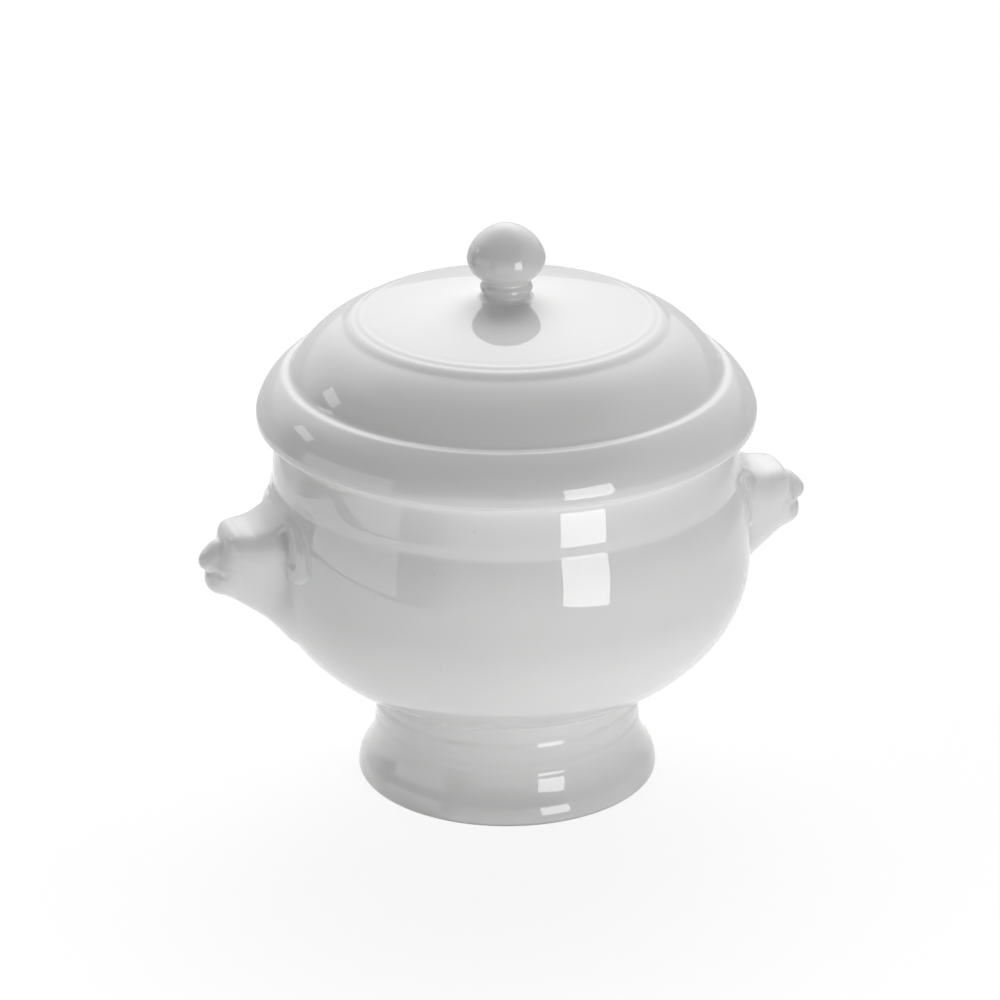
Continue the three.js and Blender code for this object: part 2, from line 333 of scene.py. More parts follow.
def dome_height(radius):
    """The top of the lid falls off with the square of the radius down to its edge. The boss is a bell
    curve, and the turning lines are a sine wave of the distance from the edge that fades out inwards."""
    from_edge = TOP_RADIUS - radius
    fade = np.exp(-(from_edge / LINE_SPACING) ** 2)
    lines = LINE_DEPTH * fade * np.sin(2 * math.pi * from_edge / LINE_SPACING)
    boss = BOSS_RISE * np.exp(-(radius / BOSS_REACH) ** 2)
    return TOP_HEIGHT + DOME_RISE * (1 - (radius / TOP_RADIUS) ** 2) + boss - lines


print("top of the lid", round(dome_height(0), 2), "mm high in its middle")

# %% Lid
LID_RADIUS = 62.02
EDGE_ROUND = 0.9
ROLL_START = 3.2
ROLL_SWELL = 0.95
GROOVE_EDGE = (55.5, 107.7)
GROOVE_MIDDLE = (53.8, 107.9)
GROOVE_SWELL = -0.1
SHOULDER_FOOT = (52.5, 109.7)
LID_SHOULDER = (40.3, 120.1)
LID_SHOULDER_SWELL = 1.25
STEP_SWELL = 0.15
LID_WALL = 4.0
FLANGE_RADIUS = 52.92
FLANGE_DEPTH = 6.5
FLANGE_WALL = 3.0
FLANGE_ROOT = 103.39
UNDERSIDE_SWELL = -1.6
TOP_STEPS, UNDERSIDE_STEPS = 160, 40
LID_ROWS = 420

lid_seat = RIM_HEIGHT
underside_edge = TOP_RADIUS - FLANGE_WALL
flange_inner = FLANGE_RADIUS - FLANGE_WALL
top_radii = np.linspace(TOP_RADIUS, 0, TOP_STEPS)
underside_radii = np.linspace(0, underside_edge, UNDERSIDE_STEPS)
lid_profile = soften([
    np.stack([underside_radii, dome_height(underside_radii) - LID_WALL], axis=1),
    swell((underside_edge, TOP_HEIGHT - LID_WALL), (flange_inner, FLANGE_ROOT), UNDERSIDE_SWELL),
    (flange_inner, lid_seat - FLANGE_DEPTH),
    (FLANGE_RADIUS, lid_seat - FLANGE_DEPTH),
    (FLANGE_RADIUS, lid_seat),
    (LID_RADIUS - EDGE_ROUND, lid_seat),
    (LID_RADIUS, lid_seat + EDGE_ROUND),
    swell((LID_RADIUS, lid_seat + ROLL_START), GROOVE_EDGE, ROLL_SWELL),
    swell(GROOVE_MIDDLE, SHOULDER_FOOT, GROOVE_SWELL),
    swell(SHOULDER_FOOT, LID_SHOULDER, LID_SHOULDER_SWELL),
    swell(LID_SHOULDER, (TOP_RADIUS, TOP_HEIGHT), STEP_SWELL),
    np.stack([top_radii, dome_height(top_radii)], axis=1),
], GLAZE_ROUND, LID_ROWS)
lid = turned_piece("lid_shell", lid_profile)

# %% [markdown]
# ## Knob
#
# The knob is a ball drawn up to a slight point, on a collar and a short flare, which is luted onto the
# boss of the lid. Its upper half is a superellipse: a power a little under two gives it the blunt point.
# The foot of the knob reaches into the lid, so no gap can show.

# %% Knob
KNOB_FLARE = 8.0
KNOB_FLARE_EDGE = 0.3
KNOB_FLARE_SWELL = -0.45
KNOB_NECK = 5.75
KNOB_SUNK = 1.0
KNOB_COLLAR_LOW, KNOB_COLLAR_HIGH, KNOB_COLLAR_SWELL = 1.1, 3.9, 0.75
BALL_RADIUS = 9.65
BALL_LIFT = 6.2
BALL_LOWER = 5.6
BALL_UPPER = 8.68
BALL_POINT = 1.72
BALL_STEPS = 60
KNOB_ROUND = 0.25
KNOB_ROWS = 220

knob_seat = dome_height(KNOB_NECK)
flare_height = dome_height(KNOB_FLARE)
collar_low = (KNOB_NECK, knob_seat + KNOB_COLLAR_LOW)
collar_high = (KNOB_NECK, knob_seat + KNOB_COLLAR_HIGH)
ball_centre = knob_seat + KNOB_COLLAR_HIGH + BALL_LIFT
neck_angle = math.acos(KNOB_NECK / BALL_RADIUS)
rise = np.sin(np.linspace(0, math.pi / 2, BALL_STEPS))
ball_width = BALL_RADIUS * (1 - rise ** BALL_POINT) ** (1 / BALL_POINT)
knob_profile = soften([
    (0, knob_seat - KNOB_SUNK),
    (KNOB_FLARE, flare_height - KNOB_FLARE_EDGE),
    swell((KNOB_FLARE, flare_height), collar_low, KNOB_FLARE_SWELL),
    swell(collar_low, collar_high, KNOB_COLLAR_SWELL),
    ellipse_arc(BALL_RADIUS, BALL_LOWER / math.sin(neck_angle), ball_centre, -neck_angle, 0),
    np.stack([ball_width, ball_centre + BALL_UPPER * rise], axis=1),
], KNOB_ROUND, KNOB_ROWS)
knob = turned_piece("lid_ball_knob", knob_profile)

# %% [markdown]
# ## Lion heads
#
# The handles are cast from a modelled head. A modeller builds it from lumps of clay pressed together and
# then presses the creases in. The same can be done with distances: each lump is a function that is
# negative inside, and a soft minimum presses two lumps together. A soft maximum does the opposite: it
# hollows the ear and blunts the front of the skull. The head's skin is where the whole function is zero. A
# grid of two parameters can't carry a muzzle, an ear and a collar in one closed skin, so this way was
# chosen.

# %% Clay in numbers
TINY = 1e-6


def ball(p, centre, radii):
    """About the distance to an ellipsoid, for a point p at d from its centre: k0 (k0 - 1) / k1, where k0 is
    the length of d / radii, and k1 is the length of d / (radii squared)."""
    q = [(p[i] - centre[i]) / radii[i] for i in range(3)]
    k0 = np.sqrt(q[0] ** 2 + q[1] ** 2 + q[2] ** 2) + TINY
    k1 = np.sqrt(sum((q[i] / radii[i]) ** 2 for i in range(3))) + TINY
    return k0 * (k0 - 1) / k1


def press(a, b, soft):
    """Soft minimum: the smaller of a and b, less up to soft / 4 where they are nearly equal."""
    share = np.clip(0.5 + 0.5 * (b - a) / soft, 0, 1)
    return b + share * (a - b) - soft * share * (1 - share)


def cut(a, b, soft):
    """Soft maximum of a and minus b, which takes b out of a."""
    return -press(-a, b, soft)


def ramp(x, low, high):
    """0 below low, 1 above high, and a smooth step between them."""
    t = np.clip((x - low) / (high - low), 0, 1)
    return t * t * (3 - 2 * t)


def smooth_curve(x, stations, values):
    """A smooth curve through the values at the stations, with the slope of the neighbours at each one."""
    stations = np.array(stations, float)
    values = np.array(values, float)
    slope = np.gradient(values, stations)
    x = np.clip(x, stations[0], stations[-1])
    i = np.clip(np.searchsorted(stations, x, "right") - 1, 0, len(stations) - 2)
    width = stations[i + 1] - stations[i]
    t = (x - stations[i]) / width
    return ((1 + 2 * t) * (1 - t) ** 2 * values[i] + t * (1 - t) ** 2 * width * slope[i]
            + t * t * (3 - 2 * t) * values[i + 1] - t * t * (1 - t) * width * slope[i + 1])


# %% [markdown]
# The skull comes first. Its top, its jaw and its half widths are given at stations along the muzzle.
# Lengths are in millimetres, for the head on the +X side: x runs out along the muzzle, side is the
# distance from the middle of the face, and z is the height.

# %% Skull
SKULL_AT = [50, 57, 60, 63, 66, 70, 72, 73.1, 74.6]
SKULL_TOP = [81, 80, 77.9, 75.9, 74.9, 74.6, 74.1, 72.9, 69]
SKULL_JAW = [41, 44.8, 47.2, 49.7, 52, 54.9, 56.4, 57.6, 60.5]
SKULL_HALF_TOP = [15, 13.6, 12.8, 11.9, 10.9, 9.4, 8.3, 6.9, 3.8]
SKULL_HALF_JAW = [15, 13, 11.6, 10.2, 9, 7.4, 6.6, 5.6, 3]
SKULL_TOP_POWER = 5.0
SKULL_JAW_POWER = 2.3
SKULL_BLEND = 0.6
SKULL_END_ROUND = 2.4
BROW_FALL = 1.0
BROW_FROM, BROW_FULL = 62, 70


def skull_field(x, side, z):
    """A skull whose top, jaw and half widths follow smooth curves along the muzzle. Across it is a
    superellipse, boxy above its middle and round below. Its brow falls off with the square of side."""
    top = smooth_curve(x, SKULL_AT, SKULL_TOP)
    jaw = smooth_curve(x, SKULL_AT, SKULL_JAW)
    middle, tall = (top + jaw) / 2, (top - jaw) / 2
    half_top = smooth_curve(x, SKULL_AT, SKULL_HALF_TOP)
    half_jaw = smooth_curve(x, SKULL_AT, SKULL_HALF_JAW)
    brow = BROW_FALL * np.minimum(side / half_top, 1) ** 2 * ramp(z, BROW_FROM, BROW_FULL)
    level = (z + brow - middle) / tall
    upper = ramp(level, -SKULL_BLEND, SKULL_BLEND)
    half = half_jaw + (half_top - half_jaw) * upper
    power = SKULL_JAW_POWER + (SKULL_TOP_POWER - SKULL_JAW_POWER) * upper
    around = ((side / half) ** power + np.abs(level) ** power) ** (1 / power)
    return cut((around - 1) * np.minimum(half, tall), SKULL_AT[-1] - x, SKULL_END_ROUND)


# %% [markdown]
# The lumps of the face are listed as a modeller would add them: where each one sits, how large it is, and
# how softly it is pressed on. Creases are pressed in with a tool, so they follow the skin: the function is
# raised by a bell curve around a line. Each crease has its line, its width and its depth. The line is
# drawn on the side of the face, as (x, z), or on the collar, as (side, z).

# %% Lumps and creases of the face
LUMPS = {
    "muzzle": ((71.4, 0, 64.0), (6.0, 6.3, 5.4), 2.0),
    "chin": ((73.2, 0, 60.8), (4.45, 5.2, 3.7), 2.0),
    "nose bridge": ((73.0, 0, 68.7), (3.2, 3.4, 3.0), 1.6),
    "nose": ((75.2, 0, 67.2), (2.9, 3.3, 2.8), 2.0),
    "nose tip": ((76.9, 0, 66.0), (2.3, 2.7, 2.25), 1.6),
}
FACE_CREASES = {
    "mouth": ([(78.6, 63.5), (76.0, 64.0), (74.2, 63.6)], 0.6, 0.3),
    "beside the nose": ([(74.2, 71.6), (73.4, 70.2), (72.5, 68.2), (72.0, 66.6)], 0.7, 0.2),
    "under the eye": ([(71.8, 69.6), (71.2, 68.0), (71.0, 66.4)], 0.55, 0.25),
}
MANE_STRANDS = {
    "inner": ([(8.4, 67.4), (8.8, 62.6)], 0.45, 0.2),
    "middle": ([(12.0, 68.2), (12.6, 64.0)], 0.45, 0.2),
}


def line_distance(a, b, path):
    """Least distance in a plane from the points (a, b) to the straight pieces of a path."""
    least = np.inf
    for start, end in zip(path, path[1:]):
        along = (end[0] - start[0], end[1] - start[1])
        share = ((a - start[0]) * along[0] + (b - start[1]) * along[1]) / (along[0] ** 2 + along[1] ** 2)
        share = np.clip(share, 0, 1)
        away = np.hypot(a - start[0] - share * along[0], b - start[1] - share * along[1])
        least = np.minimum(least, away)
    return least


def pressed_lines(a, b, lines):
    """Sum over the lines of depth times a bell curve of the distance to the line."""
    total = 0
    for path, width, depth in lines.values():
        total = total + depth * np.exp(-0.5 * (line_distance(a, b, path) / width) ** 2)
    return total


# %% [markdown]
# The head grows out of the bowl. Its mane is a collar, a thin plate that lies on the wall, with the ear's
# hollow behind the brow. The jaw runs down into the wall with a broad fillet. Round its edge the head
# sinks just under the wall, and its root ends a little inside it, so the clay of the head and of the bowl
# overlap.

# %% Collar
COLLAR_HALF = 21.3
COLLAR_LEVEL = 71.0
COLLAR_UP = 7.6
COLLAR_DOWN = 7.4
COLLAR_TOP_POWER = 2.6
COLLAR_FOOT_POWER = 3.5
COLLAR_PROUD = 0.9
COLLAR_EDGE = 7.5
COLLAR_FADE = 72.5
COLLAR_SOFT = 0.5


def collar_field(side, z, wall):
    """A thin plate on the wall of the bowl, with a superellipse as its outline. It thins out to its top."""
    above = z > COLLAR_LEVEL
    power = np.where(above, COLLAR_TOP_POWER, COLLAR_FOOT_POWER)
    reach = np.where(above, COLLAR_UP, COLLAR_DOWN)
    outline = ((side / COLLAR_HALF) ** power + np.abs((z - COLLAR_LEVEL) / reach) ** power) ** (1 / power)
    rim = (outline - 1) * COLLAR_EDGE
    proud = COLLAR_PROUD * (1 - ramp(z, COLLAR_FADE, COLLAR_LEVEL + COLLAR_UP))
    return -press(proud - wall, -rim, COLLAR_SOFT)


# %% The lion head as one function
BELOW_RIM = 1.0
BROW_FILLET, JAW_FILLET = 1.0, 3.6
FILLET_GROWS, FILLET_FULL = 64, 54
COLLAR_FILLET = 0.8
STRANDS_FULL, STRANDS_END = 2, 4
EAR_HOLLOW = [(10.6, 75.6), (12.2, 74.4), (13.6, 72.8), (14.6, 71.0), (14.7, 69.3)]
EAR_HOLLOW_RADIUS = 1.8
EAR_HOLLOW_HEIGHT = 1.8
EAR_HOLLOW_SOFT = 0.9
HEAD_MIDDLE = (60, 0, 64)
HEAD_REACH = (24, 24.5, 23)
HEAD_FADE_END, HEAD_FADE_START = 0.3, 3.0
EDGE_SUNK = 0.02
ROOT_DEPTH = 1.5
ROOT_SOFT = 0.6

bowl_wall = bowl_profile[:np.argmax(bowl_profile[:, 1] > RIM_HEIGHT - BELOW_RIM)]


def head_field(x, y, z):
    """The lion head on the +X side, in millimetres: negative inside the clay, zero on its skin. Both sides
    of the face are the same, so y is folded onto its positive half."""
    side = np.abs(y)
    wall = np.hypot(x, y) - np.interp(z, bowl_wall[:, 1], bowl_wall[:, 0])
    sunk = wall + EDGE_SUNK
    head = skull_field(x, side, z)
    for centre, radii, soft in LUMPS.values():
        head = press(head, ball((x, side, z), centre, radii), soft)
    head = head + pressed_lines(x, z, FACE_CREASES)
    whole = press(head, sunk, BROW_FILLET + JAW_FILLET * ramp(-z, -FILLET_GROWS, -FILLET_FULL))
    strands = pressed_lines(side, z, MANE_STRANDS) * ramp(-wall, -STRANDS_END, -STRANDS_FULL)
    whole = press(whole, collar_field(side, z, wall), COLLAR_FILLET) + strands
    hollow = np.hypot(line_distance(side, z, EAR_HOLLOW), wall - EAR_HOLLOW_HEIGHT) - EAR_HOLLOW_RADIUS
    whole = cut(whole, hollow, EAR_HOLLOW_SOFT)
    region = ball((x, y, z), HEAD_MIDDLE, HEAD_REACH)
    whole = sunk + (np.minimum(whole, sunk) - sunk) * ramp(-region, HEAD_FADE_END, HEAD_FADE_START)
    return -press(press(-whole, -region, ROOT_SOFT), wall + ROOT_DEPTH, ROOT_SOFT)


# %% [markdown]
# The skin is taken from a box of small cells. A cell that holds both signs gets one point, and each cell
# edge that crosses zero joins the four cells around it with a face. The points then slide along the slope
# of the function until they lie on the skin. The left head is the right one turned half round.

# %% Points and faces from cells
def cell_points(value, low, step):
    """The number of each cell that holds both signs, and its point: the mean of the spots where the cell's
    edges cross zero, each found on a straight line between the values at the edge's ends."""
    size = np.array(value.shape) - 1
    offsets = np.array([[i, j, k] for i in (0, 1) for j in (0, 1) for k in (0, 1)])
    corners = np.stack([value[i:i + size[0], j:j + size[1], k:k + size[2]] for i, j, k in offsets], axis=3)
    mixed = (corners.min(axis=3) < 0) & (corners.max(axis=3) >= 0)
    cells = np.argwhere(mixed)
    number = np.full(size, -1)
    number[mixed] = np.arange(len(cells))
    near = corners[mixed]
    total = np.zeros((len(cells), 3))
    hits = np.zeros((len(cells), 1))
    pairs = combinations(range(len(offsets)), 2)
    edges = [(a, b) for a, b in pairs if np.abs(offsets[a] - offsets[b]).sum() == 1]
    for a, b in edges:
        crosses = ((near[:, a] < 0) != (near[:, b] < 0))[:, None]
        share = near[:, a] / np.where(near[:, a] == near[:, b], 1, near[:, a] - near[:, b])
        spot = offsets[a] + share[:, None] * (offsets[b] - offsets[a])
        total += np.where(crosses, spot, 0)
        hits += crosses
    return number, np.array(low) + step * (cells + total / hits)


def cell_faces(value, number):
    """One face for each cell edge that crosses zero: it joins the points of the four cells around it."""
    size = number.shape
    faces = []
    for axis in range(3):
        u, v = (axis + 1) % 3, (axis + 2) % 3
        first = np.take(value, range(size[axis]), axis) < 0
        second = np.take(value, range(1, size[axis] + 1), axis) < 0
        edges = np.argwhere(first != second)
        edges = edges[(edges[:, u] > 0) & (edges[:, v] > 0)]
        edges = edges[(edges[:, u] < size[u]) & (edges[:, v] < size[v])]
        step_u, step_v = np.eye(3, dtype=int)[u], np.eye(3, dtype=int)[v]
        ring = [edges - step_u - step_v, edges - step_v, edges, edges - step_u]
        quads = np.stack([number[tuple(cell.T)] for cell in ring], axis=1)
        inside_first = first[tuple(edges.T)][:, None]
        faces.append(np.where(inside_first, quads, quads[:, ::-1]))
    return np.concatenate(faces)


# %% Skin of the heads
HEAD_LOW, HEAD_HIGH = (44, -25, 40.4), (80.5, 25.1, 87.6)
CELL = 0.3
SETTLE_ROUNDS = 4
LEAST_SLOPE = 0.05
HALF_TURN = np.array([-1, -1, 1])


def slope_of(field, points, reach=0.02):
    """Slope of the field at the points, from small steps to both sides along each axis."""
    steps = reach * np.eye(3)
    sides = [field(*(points + s).T) - field(*(points - s).T) for s in steps]
    return np.stack(sides, axis=1) / (2 * reach)


axes = [np.arange(low, high, CELL) for low, high in zip(HEAD_LOW, HEAD_HIGH)]
box_values = head_field(*np.meshgrid(*axes, indexing="ij"))
cell_number, head_points = cell_points(box_values, HEAD_LOW, CELL)
head_faces = cell_faces(box_values, cell_number).tolist()
for settle in range(SETTLE_ROUNDS):
    off_skin = head_field(*head_points.T)[:, None]
    slope = slope_of(head_field, head_points)
    slide = off_skin * slope / np.maximum((slope ** 2).sum(axis=1, keepdims=True), LEAST_SLOPE)
    head_points = head_points - np.clip(slide, -CELL / 2, CELL / 2)
right_head = mesh_object("right_lion_face", head_points, head_faces)
left_head = mesh_object("left_lion_face", head_points * HALF_TURN, head_faces)

# %% [markdown]
# Melted glaze runs off ridges and gathers in hollows, and shade falls there too. The darker colour given to
# the hollows is partly the thicker glaze and partly painted shade. The head's own function tells where: a
# short way out from a flat skin it has risen by that same way, and over a hollow by less. What is missing is
# kept on each point.

# %% Where the glaze gathers and shade is painted on the heads
HOLLOW_REACH = 0.8
HOLLOW_DEEP = 0.35

outwards = slope_of(head_field, head_points)
outwards /= np.linalg.norm(outwards, axis=1, keepdims=True)
risen = head_field(*(head_points + HOLLOW_REACH * outwards).T)
# A hollow's share: thicker glaze there, and painted shade.
pool_and_shade = np.clip((HOLLOW_REACH - risen) / HOLLOW_DEEP, 0, 1)
for face in (right_head, left_head):
    mark = face.data.attributes.new("glaze_pool_and_shade", "FLOAT", "POINT")
    mark.data.foreach_set("value", pool_and_shade.astype(np.float32))
print("glaze gathers on", round(float(pool_and_shade.mean()), 3), "of the heads' points")

# %% [markdown]
# ## Glaze
#
# The glaze is clear glass over a white body, so one glossy shader carries it: a pale base colour under a
# smooth dielectric skin. A flat colour would look like plastic. Real glaze is never quite even: it clouds
# a little where it lies thicker, its surface waves by less than a hundredth of a millimetre, and a few pin
# holes and kiln specks stay in it. All pieces share these effects, so they are built once as a node group.

# %% Node helpers
def add_node(tree, kind, **settings):
    """A new node with some of its properties set."""
    node = tree.nodes.new(kind)
    for name, value in settings.items():
        setattr(node, name, value)
    return node


def wire(tree, socket, value):
    """Link another node's output to a socket, or else set a plain value on it."""
    if isinstance(value, bpy.types.NodeSocket):
        tree.links.new(value, socket)
    else:
        socket.default_value = value


def feed(tree, node, **inputs):
    """Wire a node's sockets by name. An underscore in the name stands for a space."""
    for name, value in inputs.items():
        wire(tree, node.inputs[name.replace("_", " ")], value)
    return node


def calculate(tree, operation, *values):
    """A Math node on up to three values or links."""
    node = add_node(tree, "ShaderNodeMath", operation=operation)
    for socket, value in zip(node.inputs, values):
        wire(tree, socket, value)
    return node.outputs[0]


def blend_colours(tree, share, first, second):
    """A Mix node between two colours."""
    node = add_node(tree, "ShaderNodeMix", data_type="RGBA")
    colour_in = [s for s in node.inputs if s.type == "RGBA"]
    for socket, value in zip([node.inputs[0]] + colour_in, (share, first, second)):
        wire(tree, socket, value)
    return [s for s in node.outputs if s.type == "RGBA"][0]


def noise(tree, place, scale, detail):
    """A Noise Texture node on a place."""
    node = add_node(tree, "ShaderNodeTexNoise")
    return feed(tree, node, Vector=place, Scale=scale, Detail=detail).outputs[0]


# %% Glaze group
CLEAR_WHITE = (0.872, 0.872, 0.866, 1)
CLOUDED_WHITE = (0.842, 0.844, 0.842, 1)
# The pooled white is darker: partly the tint of thicker glaze, partly painted shade in the hollows.
POOLED_AND_SHADED_WHITE = (0.800, 0.808, 0.806, 1)
KILN_SPECK = (0.60, 0.57, 0.53, 1)
CLOUD_SCALE, CLOUD_DETAIL = 45.0, 3.0
WAVE_SCALE, WAVE_DETAIL = 140.0, 1.0
SPECK_SCALE, SPECK_SIZE = 75.0, 0.022
SPECK_TINT, SPECK_ROUGHNESS, SPECK_DENT = 0.3, 0.2, -0.4
CLEAR_ROUGHNESS, CLOUD_ROUGHNESS = 0.002, 0.016

glaze_group = bpy.data.node_groups.new("glaze_skin", "ShaderNodeTree")
glaze_group.interface.new_socket("Pooling", in_out="INPUT", socket_type="NodeSocketFloat")
glaze_group.interface.new_socket("Colour", in_out="OUTPUT", socket_type="NodeSocketColor")
glaze_group.interface.new_socket("Roughness", in_out="OUTPUT", socket_type="NodeSocketFloat")
glaze_group.interface.new_socket("Height", in_out="OUTPUT", socket_type="NodeSocketFloat")
pool_and_shade_share = add_node(glaze_group, "NodeGroupInput").outputs["Pooling"]
group_out = add_node(glaze_group, "NodeGroupOutput")
place = add_node(glaze_group, "ShaderNodeTexCoord").outputs["Object"]
clouds = noise(glaze_group, place, CLOUD_SCALE, CLOUD_DETAIL)
waves = noise(glaze_group, place, WAVE_SCALE, WAVE_DETAIL)
grains = feed(glaze_group, add_node(glaze_group, "ShaderNodeTexVoronoi"), Vector=place, Scale=SPECK_SCALE)
speck = calculate(glaze_group, "LESS_THAN", grains.outputs["Distance"], SPECK_SIZE)
speck_share = calculate(glaze_group, "MULTIPLY", speck, SPECK_TINT)
even_colour = blend_colours(glaze_group, clouds, CLEAR_WHITE, CLOUDED_WHITE)
# The pooled share darkens the colour in hollows, as thicker glaze and as painted shade.
pooled_and_shaded_colour = blend_colours(glaze_group, pool_and_shade_share, even_colour, POOLED_AND_SHADED_WHITE)
even_roughness = calculate(glaze_group, "MULTIPLY_ADD", clouds, CLOUD_ROUGHNESS, CLEAR_ROUGHNESS)
feed(
    glaze_group, group_out,
    Colour=blend_colours(glaze_group, speck_share, pooled_and_shaded_colour, KILN_SPECK),
    Roughness=calculate(glaze_group, "MULTIPLY_ADD", speck, SPECK_ROUGHNESS, even_roughness),
    Height=calculate(glaze_group, "MULTIPLY_ADD", speck, SPECK_DENT, waves),
)
print("group", glaze_group.name, len(glaze_group.nodes), "nodes")

# %% [markdown]
# Three finishes use the group. The turned pieces have it plain. On the foot the glaze is wiped off the
# tread, so the ring that touches the table is bare, matt porcelain. On the lions the glaze gathers in the
# hollows, where each point of their skin carries a number for it, and the colour there is darker: partly
# thicker glaze, partly painted shade.

# %% Glaze on the turned pieces
WAVE_HEIGHT = 0.000008
GLAZE_IOR = 1.5


def glaze_material(name):
    """A Principled material with the glaze group on its colour, roughness and bump."""
    material = bpy.data.materials.new(name)
    material.use_nodes = True
    tree = material.node_tree
    skin = add_node(tree, "ShaderNodeGroup", node_tree=glaze_group)
    skin.inputs["Pooling"].default_value = 0
    bump = feed(tree, add_node(tree, "ShaderNodeBump"), Height=skin.outputs["Height"], Distance=WAVE_HEIGHT)
    shader = tree.nodes["Principled BSDF"]
    feed(tree, shader, Base_Color=skin.outputs["Colour"], Roughness=skin.outputs["Roughness"],
         Normal=bump.outputs["Normal"], IOR=GLAZE_IOR)
    return material, tree, skin, shader


turned_glaze = glaze_material("turned_glaze")[0]
print("finish", turned_glaze.name)

# %% Glaze on the foot, and glaze with painted shade on the lions
BARE_PORCELAIN = (0.78, 0.765, 0.735, 1)
BARE_ROUGHNESS, GRIT_ROUGHNESS = 0.5, 0.3
GRIT_SCALE, GRIT_DETAIL = 2500.0, 4.0
TREAD_HEIGHT = 0.0007

foot_glaze, tree, skin, shader = glaze_material("foot_glaze")
place = add_node(tree, "ShaderNodeTexCoord").outputs["Object"]
height = feed(tree, add_node(tree, "ShaderNodeSeparateXYZ"), Vector=place).outputs["Z"]
tread = calculate(tree, "LESS_THAN", height, TREAD_HEIGHT)
grit = noise(tree, place, GRIT_SCALE, GRIT_DETAIL)
bare_roughness = calculate(tree, "MULTIPLY_ADD", grit, GRIT_ROUGHNESS, BARE_ROUGHNESS)
rougher = calculate(tree, "SUBTRACT", bare_roughness, skin.outputs["Roughness"])
feed(
    tree, shader,
    Base_Color=blend_colours(tree, tread, skin.outputs["Colour"], BARE_PORCELAIN),
    Roughness=calculate(tree, "MULTIPLY_ADD", tread, rougher, skin.outputs["Roughness"]),
)

# The lions' hollows take the darker pooled colour: thicker glaze and painted shade.
lion_glaze_and_shade, tree, skin = glaze_material("lion_glaze_and_shade")[:3]
gathered_and_shaded = add_node(tree, "ShaderNodeAttribute", attribute_name="glaze_pool_and_shade")
feed(tree, skin, Pooling=gathered_and_shaded.outputs["Fac"])
print("finishes", foot_glaze.name, lion_glaze_and_shade.name)

# %% [markdown]
# Each piece now gets its finish, rides on the body that carries it, and stands for the plain solid of that
# body. The lid and its knob ride on the cover, which lifts off. Everything else rides on the cup.

# %% Fit the pieces to the model
PIECES = [
    (bowl, turned_glaze, "cup", "bowl"),
    (foot, foot_glaze, "cup", "pedestal_foot"),
    (left_head, lion_glaze_and_shade, "cup", "left_lion_head"),
    (right_head, lion_glaze_and_shade, "cup", "right_lion_head"),
    (lid, turned_glaze, "cover", "lid"),
    (knob, turned_glaze, "cover", "lid_knob"),
]
for piece, finish, body, node in PIECES:
    piece.data.materials.append(finish)
    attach(piece, body)
    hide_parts(node)
print(len(PIECES), "pieces ride on the model")

# %% [markdown]
# ## Table, lamps and room
#
# White porcelain on white shows only by its shading and by what it mirrors. The cup stands on a square
# sheet of white paper, which throws light up under the belly and ends in a straight edge in the
# reflections. Where it is seen directly, the paper is lifted towards plain white, fully so away from the
# cup, and the shadow stays.

# %% Table
TABLE_HALF = 0.278
TABLE_TURN = -43
CORNERS_AT = (45, 135, 225, 315)

corners = [math.sqrt(2) * TABLE_HALF * bearing(TABLE_TURN + corner, 0) for corner in CORNERS_AT]
table_mesh = bpy.data.meshes.new("studio_table")
table_mesh.from_pydata(corners, [], [(0, 1, 2, 3)])
table = bpy.data.objects.new("studio_table", table_mesh)
bpy.context.scene.collection.objects.link(table)
print("table", 2 * TABLE_HALF, "m across")

# %% White paper
TABLE_WHITE = (0.92, 0.92, 0.92, 1)
TABLE_LIFT = 0.85
TABLE_GLOW = 1.03
LIFT_START, LIFT_END = 0.11, 0.24
WHITE = (1, 1, 1, 1)


def smooth_step(tree, value, start, end, first=0.0, last=1.0):
    """A Map Range node: first below start, last above end, and a smooth step between them."""
    node = add_node(tree, "ShaderNodeMapRange", interpolation_type="SMOOTHSTEP")
    feed(tree, node, Value=value, From_Min=start, From_Max=end, To_Min=first, To_Max=last)
    return node.outputs["Result"]


def seen_directly(tree):
    """1 for camera, mirrored and see-through rays, and 0 for the rays that light other surfaces."""
    path = add_node(tree, "ShaderNodeLightPath")
    through = path.outputs["Is Transmission Ray"]
    mirrored = calculate(tree, "MAXIMUM", path.outputs["Is Glossy Ray"], through)
    return calculate(tree, "MAXIMUM", path.outputs["Is Camera Ray"], mirrored)


paper = bpy.data.materials.new("white_paper")
paper.use_nodes = True
tree = paper.node_tree
tree.nodes.remove(tree.nodes["Principled BSDF"])
matt = feed(tree, add_node(tree, "ShaderNodeBsdfDiffuse"), Color=TABLE_WHITE)
glow = feed(tree, add_node(tree, "ShaderNodeEmission"), Color=WHITE, Strength=TABLE_GLOW)
from_cup = add_node(tree, "ShaderNodeVectorMath", operation="LENGTH")
wire(tree, from_cup.inputs[0], add_node(tree, "ShaderNodeTexCoord").outputs["Object"])
lift = smooth_step(tree, from_cup.outputs["Value"], LIFT_START, LIFT_END, first=TABLE_LIFT)
both = add_node(tree, "ShaderNodeMixShader")
wire(tree, both.inputs["Fac"], calculate(tree, "MULTIPLY", seen_directly(tree), lift))
wire(tree, both.inputs[1], matt.outputs[0])
wire(tree, both.inputs[2], glow.outputs[0])
wire(tree, tree.nodes["Material Output"].inputs["Surface"], both.outputs[0])
table_mesh.materials.append(paper)
print("paper", len(tree.nodes), "nodes")

# %% [markdown]
# A tall lamp at the front right leaves the bright window on the belly. A twin just before it is only
# mirrored, so the window looks brighter than the light that it gives. At the left a pale board stands
# parallel to the edge of the paper, and a small window above it leaves the little lights on the lid. Both
# are only mirrored too. A weak tray of light lies in front of the foot, for the light that the paper
# throws back there.

